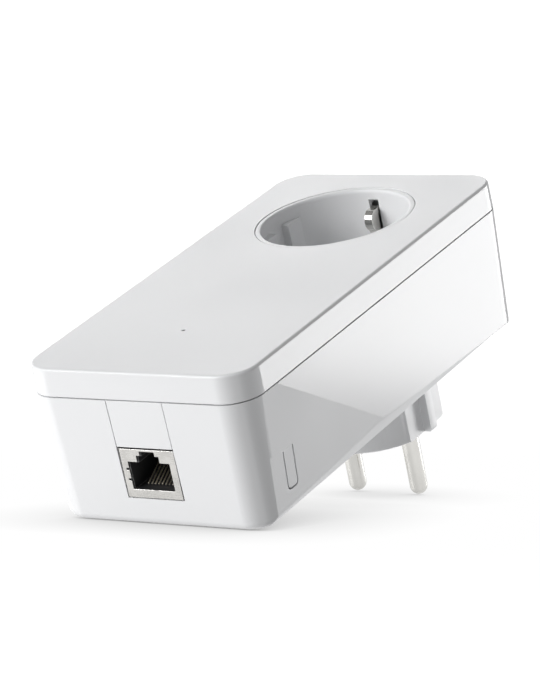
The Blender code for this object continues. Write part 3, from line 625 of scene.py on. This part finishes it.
def lip_ring():
    """The locating lip that stands behind the parting gap."""
    def layer(inset, y_front, y_back):
        return rounded_box(y_back, y_front, HALF_WIDTH - inset, LOW_Z + inset, HIGH_Z - inset, (0.0, 0.0),
                           CORNER - inset, 0.2, fine=False)
    ring = new_object("lip", to_mesh("lip", layer(WALL + LIP[0], PARTING_Y - 2.0, PARTING_Y + 3.0)))
    ring = combine(ring, layer(WALL - LIP_BITE, PARTING_Y + 0.4, PARTING_Y + 2.8), "UNION")
    return combine(ring, layer(WALL + LIP[1], PARTING_Y - 3.0, PARTING_Y + 4.0))


def join_piece(obj, other):
    """Joins another object to this one at once, and removes it."""
    step = obj.modifiers.new("join", "BOOLEAN")
    step.operation = "UNION"
    step.object = other
    made = bake(obj, obj.name)
    bpy.data.objects.remove(other, do_unlink=True)
    return made


def tongue_window(root_gap, side_gap, tip_round):
    """The outline of the button's tongue through the wall, grown by the slit round it, with a round tip."""
    tip_y = BUTTON_HIGH.y + side_gap
    inwards, outwards = TONGUE_CUT
    window = block((HALF_WIDTH - inwards, HALF_WIDTH + outwards), (BUTTON_LOW.y - root_gap, tip_y),
                   (BUTTON_LOW.z - side_gap, BUTTON_HIGH.z + side_gap))
    tip = [e for e in window.edges if all(v.co.y > tip_y - 0.1 for v in e.verts)
           and abs((e.verts[0].co - e.verts[1].co).x) > 1.0]
    bmesh.ops.bevel(window, geom=tip, offset=tip_round, segments=8, profile=0.5, affect="EDGES")
    return window


def make_rear_housing():
    housing = outer_form("rear_housing_shell", "white_gloss", "white_facet")
    housing = combine(housing, housing_form(WALL, fine=False))
    housing = join_piece(housing, lip_ring())
    bosses = bmesh.new()
    counterbores = bmesh.new()
    holes = bmesh.new()
    for x, z in POSTS:
        add_rod(bosses, BOSS_RADIUS, (-8.0, -1.0), (x, z), segments=32)
        add_rod(counterbores, COUNTERBORE_RADIUS, (-2.4, 2.0), (x, z), segments=48)
        add_rod(holes, SCREW_HOLE_RADIUS, (-9.0, -2.0), (x, z), segments=24)
    housing = combine(housing, bosses, "UNION")
    housing = combine(housing, counterbores)
    housing = combine(housing, holes)
    housing = combine(housing, rod(PLUG_HOLE, (-5.0, 3.0), segments=128))
    housing = combine(housing, block((-PORT_HALF, PORT_HALF), (PARTING_Y - 4.0, PORT_LOW_Y),
                                     (LOW_Z - 2.0, LOW_Z + 5.0)))
    housing = combine(housing, tongue_window(HINGE_SLIT, SLIT, SLIT_ROUND + SLIT))
    finish_edges(housing, 0.14, root_y=BUTTON_LOW.y)
    finish_piece(housing, "housing", "rear_housing")


def wall_piece(name, window, *finishes):
    """A piece of the rear housing's wall, cut out by a window."""
    piece = outer_form(name, *finishes)
    piece = combine(piece, housing_form(WALL, fine=False))
    return combine(piece, window, "INTERSECT")


def make_port_panel():
    window = block((PANEL_LOW.x, PANEL_HIGH.x), (PARTING_Y, PANEL_HIGH.y), (LOW_Z - 2.0, LOW_Z + 4.0))
    panel = wall_piece("port_filler_shell", window, "white_gloss", "white_facet")
    finish_edges(panel, 0.1)
    finish_piece(panel, "housing", "port_filler_panel")


def make_button():
    """The pairing button: a tongue of the housing's wall with a rib that reaches in to the switch."""
    window = tongue_window(0.0, 0.0, SLIT_ROUND)
    button = wall_piece("pairing_button_shell", window, "white_gloss", "white_facet")
    z = (BUTTON_LOW.z + BUTTON_HIGH.z) / 2
    thick, wide = BUTTON_RIB_HALF
    rib = block((BUTTON_LOW.x, BUTTON_RIB_ROOT_X), (BUTTON_RIB_Y - thick, BUTTON_RIB_Y + thick),
                (z - wide, z + wide))
    button = combine(button, rib, "UNION")
    finish_edges(button, 0.12, root_y=BUTTON_LOW.y)
    finish_piece(button, "pairing_button", "pairing_button")


def make_case_screws():
    """Pan-head screws with a cross recess, deep in the housing's back."""
    for name, (x, z) in zip(("lower_left", "lower_right", "upper_left", "upper_right"), POSTS):
        node = f"case_screw_{name}"
        low, high = span(node)
        profile = [(0.0, low.y), (0.5, low.y), (1.1, low.y + 1.0), (1.1, high.y - 1.5), (2.5, high.y - 1.5),
                   (2.6, high.y - 1.35), (2.6, high.y - 0.7)]
        profile += arc((2.0, high.y - 0.7), 0.6, 0, 60, 4)
        profile += [(1.2, high.y), (0.0, high.y)]
        screw = new_object(f"{node}_fine", to_mesh(f"{node}_fine", lathe(profile, (x, z), steps=48)))
        give(screw, "steel")
        for wide, tall in (SCREW_CROSS, SCREW_CROSS[::-1]):
            slot = block((x - wide, x + wide), (high.y - 1.1, high.y + 1.0), (z - tall, z + tall))
            screw = combine(screw, slot)
        finish_edges(screw, 0.08, angle=45.0)
        finish_piece(screw, "housing", node)


# ---------------------------------------------------------------- socket and plug

def make_socket_insert():
    rim = -DEPTH + 0.1
    wide = RECESS_RADIUS
    lip, lip_depth = RIM_LIP
    profile = [(0.0, -RECESS_FLOOR), (wide - 0.5, -RECESS_FLOOR)]
    profile += arc((wide - 0.5, -RECESS_FLOOR - 0.5), 0.5, 90, 0, 4)
    profile += [(wide + lip * (1.0 - math.cos(a)), rim + lip_depth * (1.0 - math.sin(a)))
                for a in [math.radians(15 * i) for i in range(7)]]
    profile += arc((RIM_RADIUS - 0.3, rim + 0.3), 0.3, 270, 360, 4)
    front, back = INSERT_FLANGE
    profile += [(RIM_RADIUS, front), (INSERT_HIGH.x, front), (INSERT_HIGH.x, back), (INSERT_TUBE, back),
                (INSERT_TUBE, INSERT_BACK), (0.0, INSERT_BACK)]
    insert = new_object("socket_insert_shell", to_mesh("socket_insert_shell", lathe(profile, steps=144)))
    give(insert, "recess_white")
    guides = new_object("guides", to_mesh("guides", rod(GUIDE_RADIUS, (-DEPTH + GUIDE_DEPTH, -22.0),
                                                            segments=144)))
    guides = combine(guides, block((-RECESS_FLAT, RECESS_FLAT), (-45.0, -15.0), (-25.0, 25.0)))
    guides = combine(guides, block((-25.0, 25.0), (-46.0, -14.0), (-GUIDE_SLOT, GUIDE_SLOT)))
    insert = join_piece(insert, guides)
    holes = bmesh.new()
    for side in (1, -1):
        add_rod(holes, CONTACT_HOLE_RADIUS, (-30.0, -15.0), (side * PIN_SPACING / 2, 0.0))
        x, z = CARRIER_HOLE_AT
        add_rod(holes, CARRIER_HOLE_RADIUS, (-22.5, -15.0), (side * x, z), segments=32)
        add_block(holes, (-CLIP_SLOT, CLIP_SLOT), (-DEPTH + CLIP_SLOT_DEPTH, -15.0),
                  sorted(side * reach for reach in CLIP_SLOT_Z))
    insert = combine(insert, holes)
    finish_edges(insert, 0.2, angle=40.0)
    finish_piece(insert, "housing", "socket_insert")


def make_plug_body():
    profile = [(0.0, PLUG_HIGH.y)]
    profile += arc((PLUG_RADIUS - PLUG_ROUND, PLUG_HIGH.y - PLUG_ROUND), PLUG_ROUND, 90, 0, 6)
    profile += [(PLUG_RADIUS, PLUG_LOW.y), (0.0, PLUG_LOW.y)]
    body = new_object("plug_body_shell", to_mesh("plug_body_shell", lathe(profile, steps=144)))
    give(body, "plug_white")
    for side in (1, -1):
        flat = new_object("flat", to_mesh("flat", block(sorted((side * PLUG_FLAT, side * 22.0)),
                                                        (PLUG_SHOULDER, PLUG_HIGH.y + 2.0),
                                                        (-PLUG_FLAT_HALF, PLUG_FLAT_HALF))))
        flat = combine(flat, block(sorted((side * 10.0, side * 24.0)), (-2.0, PLUG_HIGH.y + 3.0),
                                   (-PLUG_RIB, PLUG_RIB)))
        step = body.modifiers.new("flat", "BOOLEAN")
        step.operation = "DIFFERENCE"
        step.object = flat
        body = bake(body, "plug_body_shell")
        bpy.data.objects.remove(flat, do_unlink=True)
    body = combine(body, rod(PLUG_HIGH.x, (PLUG_LOW.y, -2.5), segments=128), "UNION")
    holes = bmesh.new()
    half, nearest, end = STRIP_SLOT
    for side in (1, -1):
        add_rod(holes, PIN_RADIUS + PIN_GAP, (-8.0, 22.0), (side * PIN_SPACING / 2, 0.0))
        add_block(holes, (-half, half), (-8.0, end), sorted((side * nearest, side * 23.0)))
    half, tall, end = PLUG_HOLLOW
    add_block(holes, (-half, half), (-8.0, end), (-tall, tall))
    body = combine(body, holes)
    finish_edges(body, 0.22, angle=35.0)
    finish_piece(body, "housing", "plug_body")


def make_pins():
    for name, side in (("live", 1), ("neutral", -1)):
        tip = PIN_HIGH.y
        profile = [(0.0, PIN_LOW.y), (PIN_RADIUS - 0.2, PIN_LOW.y), (PIN_RADIUS, PIN_LOW.y + 0.2)]
        profile += arc((0.0, tip - PIN_RADIUS), PIN_RADIUS, 0, 90, 12)
        pin = new_object(f"plug_pin_{name}_fine", to_mesh(f"plug_pin_{name}_fine", lathe(
            profile, (side * PIN_SPACING / 2, 0.0), steps=64)))
        give(pin, "nickel")
        smooth_normals(pin)
        finish_piece(pin, "housing", f"plug_pin_{name}")


def make_clip(name, side):
    """A spring strip whose free end is bent into a round bulge; the points are (y, z) of the upper one."""
    bulge = [(-33.2 + 3.0 * math.sin(a), 17.9 - 2.9 * math.cos(a)) for a in
             [math.radians(d) for d in range(-75, 61, 5)]]
    outline = [(-36.1, 19.2)] + bulge + [(-28.4, 17.4), (-25.0, 19.1), (-6.75, 19.1), (-6.75, 19.9),
                                         (-24.6, 19.9), (-28.6, 18.6), (-34.0, 18.8), (-36.3, 20.0)]
    bm = bmesh.new()
    half = CLIP_HIGH.x
    face = bm.faces.new([bm.verts.new((-half, y, side * z)) for y, z in outline])
    moved = bmesh.ops.extrude_face_region(bm, geom=[face])["geom"]
    verts = [v for v in moved if isinstance(v, bmesh.types.BMVert)]
    bmesh.ops.translate(bm, verts=verts, vec=(2 * half, 0.0, 0.0))
    clip = new_object(f"{name}_fine", to_mesh(f"{name}_fine", bm))
    give(clip, "nickel")
    finish_edges(clip, 0.14, angle=40.0, segments=3)
    finish_piece(clip, name, name)


# ---------------------------------------------------------------- network port

def make_jack_shield():
    low, high = SHIELD_LOW, SHIELD_HIGH
    shield = new_object("jack_shield_fine", to_mesh("jack_shield_fine", block(
        (low.x, high.x), (low.y, high.y), (low.z, high.z))))
    give(shield, "shield_nickel")
    shield = combine(shield, block((low.x + SHEET, high.x - SHEET), (low.y + SHEET, high.y - SHEET),
                                   (low.z + SHEET, high.z + 2.0)))
    for half, top in JACK_STEPS:
        shield = combine(shield, block((-half, half), (top, JACK_FLOOR_Y), (low.z - 2.0, low.z + 2.0)))
    notches = bmesh.new()
    for notch in NOTCHES:
        add_block(notches, NOTCH_X, (notch, notch + NOTCH_WIDTH), (low.z - 2.0, low.z + 2.0))
    shield = combine(shield, notches)
    finish_edges(shield, 0.1, angle=40.0, segments=2)
    finish_piece(shield, "housing", "jack_shield")


def make_contact_wires():
    """Round sprung wires, gold plated, rising from the jack's floor to a bar at its back."""
    front, back = Vector((0.0, -10.0, -96.5)), Vector((0.0, -14.8, -87.6))
    run = back - front
    tilt = Matrix.Rotation(math.atan2(-run.y, run.z), 4, "X")
    bar = block((-4.6, 4.6), (-15.4, -14.2), (-88.2, -87.0))
    contacts = new_object("jack_contacts_fine", to_mesh("jack_contacts_fine", bar))
    give(contacts, "gold")
    wires = bmesh.new()
    for i in range(CONTACTS):
        shift = Vector(((i - (CONTACTS - 1) / 2) * CONTACT_PITCH, 0.0, 0.0))
        place = Matrix.Translation((front + back) / 2 + shift) @ tilt
        bmesh.ops.create_cone(wires, cap_ends=True, segments=16, radius1=CONTACT_RADIUS,
                              radius2=CONTACT_RADIUS, depth=run.length, matrix=place)
    contacts = combine(contacts, wires, "UNION")
    finish_edges(contacts, 0.05, angle=50.0)
    finish_piece(contacts, "housing", "jack_contacts")


# ---------------------------------------------------------------- CAD nodes that stay

CARRIED_OVER = {
    "black_plastic": ("board_header", "contact_carrier", "jack_housing", "switch_body"),
    "grey_plastic": ("fuse", "switch_plunger"),
    "white_satin": ("shutter",),
    "clear_plastic": ("light_guide", "status_led"),
    "insulating_film": ("insulating_sheet",),
    "nickel": ("crystal", "plug_earth_strip_lower", "plug_earth_strip_upper"),
    "brass": ("earth_bridge", "live_busbar", "live_receptacle", "neutral_busbar", "neutral_receptacle"),
    "steel": ("board_screw_left", "board_screw_right", "carrier_screw_left", "carrier_screw_right",
              "shutter_spring"),
    "aluminium": ("heat_sink",),
    "circuit_board": ("main_board", "mains_board"),
    "component_black": ("bridge_rectifier", "bulk_capacitor", "coupling_transformer", "lan_transformer",
                        "memory_chip", "modem_chip", "optocoupler", "output_capacitor", "power_transformer"),
    "component_yellow": ("x_capacitor",),
    "component_blue": ("varistor",),
    "copper_winding": ("common_mode_choke",),
}


SEEN_FROM_OUTSIDE = ("jack_housing", "plug_earth_strip_lower", "plug_earth_strip_upper", "shutter",
                     "contact_carrier")


def finish_cad_nodes():
    """Gives each CAD node that stays its finish, and small rounds where an edge can be seen."""
    for finish, names in CARRIED_OVER.items():
        for name in names:
            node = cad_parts[name]
            node.data.materials.clear()
            give(node, finish)
    for name in SEEN_FROM_OUTSIDE:
        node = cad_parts[name]
        weld = node.modifiers.new("weld", "WELD")
        weld.merge_threshold = 0.000001
        finish_edges(node, 0.1, angle=40.0)


# ---------------------------------------------------------------- studio

def emitter(name, where, aim, size, radiance):
    """A soft area light at a point, turned towards another; radiance is what a mirror would show."""
    data = bpy.data.lights.new(name, "AREA")
    data.shape = "RECTANGLE"
    data.size, data.size_y = size
    data.energy = radiance * math.pi * size[0] * size[1]
    light = bpy.data.objects.new(name, data)
    bpy.context.scene.collection.objects.link(light)
    light.location = where
    light.rotation_mode = "QUATERNION"
    light.rotation_quaternion = (Vector(aim) - Vector(where)).to_track_quat("-Z", "Y")
    return light


def make_world():
    """White behind the object for the camera, and a dim even light for everything else."""
    world = bpy.data.worlds.new("studio")
    world.use_nodes = True
    tree = world.node_tree
    shade = tree.nodes["Background"]
    ray = tree.nodes.new("ShaderNodeLightPath")
    level = tree.nodes.new("ShaderNodeMapRange")
    level.inputs["To Min"].default_value = AMBIENT
    level.inputs["To Max"].default_value = BACKDROP
    tree.links.new(ray.outputs["Is Camera Ray"], level.inputs["Value"])
    tree.links.new(level.outputs["Result"], shade.inputs["Strength"])
    shade.inputs["Color"].default_value = (1.0, 1.0, 1.0, 1.0)
    bpy.context.scene.world = world


def make_floor():
    """A pale glowing floor with soft contact shade, under the pin tips and the port end; clear from below."""
    bm = bmesh.new()
    bmesh.ops.create_grid(bm, x_segments=1, y_segments=1, size=FLOOR_SIZE / 2)
    mesh = bpy.data.meshes.new("floor")
    bm.to_mesh(mesh)
    bm.free()
    floor = new_object("floor", mesh)
    floor.rotation_mode = "QUATERNION"
    floor.rotation_quaternion = FLOOR_UP.to_track_quat("Z", "Y")
    floor.location = FLOOR_UP * FLOOR_LEVEL * MM
    floor.visible_shadow = False
    material = bpy.data.materials.new("floor")
    material.use_nodes = True
    tree = material.node_tree
    tree.nodes.clear()

    def node(kind, **inputs):
        made = tree.nodes.new(kind)
        for key, value in inputs.items():
            made.inputs[key.replace("_", " ")].default_value = value
        return made

    contact = node("ShaderNodeAmbientOcclusion", Distance=CONTACT_SHADE)
    contact.samples = 16
    soft = node("ShaderNodeMath")
    soft.operation = "POWER"
    soft.inputs[1].default_value = CONTACT_SOFTNESS
    ray = node("ShaderNodeLightPath")
    share = node("ShaderNodeMapRange", To_Min=FLOOR_GLOW, To_Max=FLOOR_GLOW * FLOOR_FILL)
    glow = node("ShaderNodeEmission")
    level = node("ShaderNodeMath")
    level.operation = "MULTIPLY"
    place = node("ShaderNodeNewGeometry")
    reach = node("ShaderNodeVectorMath")
    reach.operation = "LENGTH"
    fade = node("ShaderNodeMapRange", From_Min=FLOOR_FADE[0], From_Max=FLOOR_FADE[1])
    fade.interpolation_type = "SMOOTHSTEP"
    hidden = node("ShaderNodeMath")
    hidden.operation = "MAXIMUM"
    clear = node("ShaderNodeBsdfTransparent")
    pick = node("ShaderNodeMixShader")
    out = node("ShaderNodeOutputMaterial")
    for source, target in ((ray.outputs["Is Diffuse Ray"], share.inputs["Value"]),
                           (share.outputs["Result"], level.inputs[0]),
                           (contact.outputs["AO"], soft.inputs[0]),
                           (soft.outputs[0], level.inputs[1]),
                           (level.outputs[0], glow.inputs["Strength"]),
                           (place.outputs["Position"], reach.inputs[0]),
                           (reach.outputs["Value"], fade.inputs["Value"]),
                           (place.outputs["Backfacing"], hidden.inputs[0]),
                           (fade.outputs["Result"], hidden.inputs[1]), (hidden.outputs[0], pick.inputs[0]),
                           (glow.outputs[0], pick.inputs[1]), (clear.outputs[0], pick.inputs[2]),
                           (pick.outputs[0], out.inputs["Surface"])):
        tree.links.new(source, target)
    mesh.materials.append(material)


def make_camera():
    data = bpy.data.cameras.new("camera")
    data.sensor_width = 36.0
    data.lens = LENS
    data.clip_start = 0.05
    data.clip_end = 100.0
    camera = bpy.data.objects.new("camera", data)
    bpy.context.scene.collection.objects.link(camera)
    back = (CAMERA_AT - LOOK_AT).normalized()
    right = CAMERA_UP.cross(back).normalized()
    up = back.cross(right)
    camera.matrix_world = Matrix.Translation(CAMERA_AT) @ Matrix((right, up, back)).transposed().to_4x4()
    bpy.context.scene.camera = camera


def studio_point(turn, rise):
    """Where a light stands, by its angles about the middle of the picture, from the side the camera is on."""
    back = CAMERA_AT - LOOK_AT
    level = (back - FLOOR_UP * back.dot(FLOOR_UP)).normalized()
    across = FLOOR_UP.cross(level).normalized()
    turn, rise = math.radians(turn), math.radians(rise)
    way = (across * math.sin(turn) + level * math.cos(turn)) * math.cos(rise) + FLOOR_UP * math.sin(rise)
    return LOOK_AT + way * LIGHT_DISTANCE


def make_lights():
    for name, turn, rise, width, height, radiance in LIGHTS:
        emitter(name, studio_point(turn, rise), LOOK_AT, (width, height), radiance)


make_cover()
make_rear_housing()
make_port_panel()
make_button()
make_case_screws()
make_socket_insert()
make_plug_body()
make_pins()
make_clip("earth_clip_upper", 1)
make_clip("earth_clip_lower", -1)
make_jack_shield()
make_contact_wires()
finish_cad_nodes()
make_world()
make_floor()
make_camera()
make_lights()
bpy.context.scene.view_settings.view_transform = "Standard"
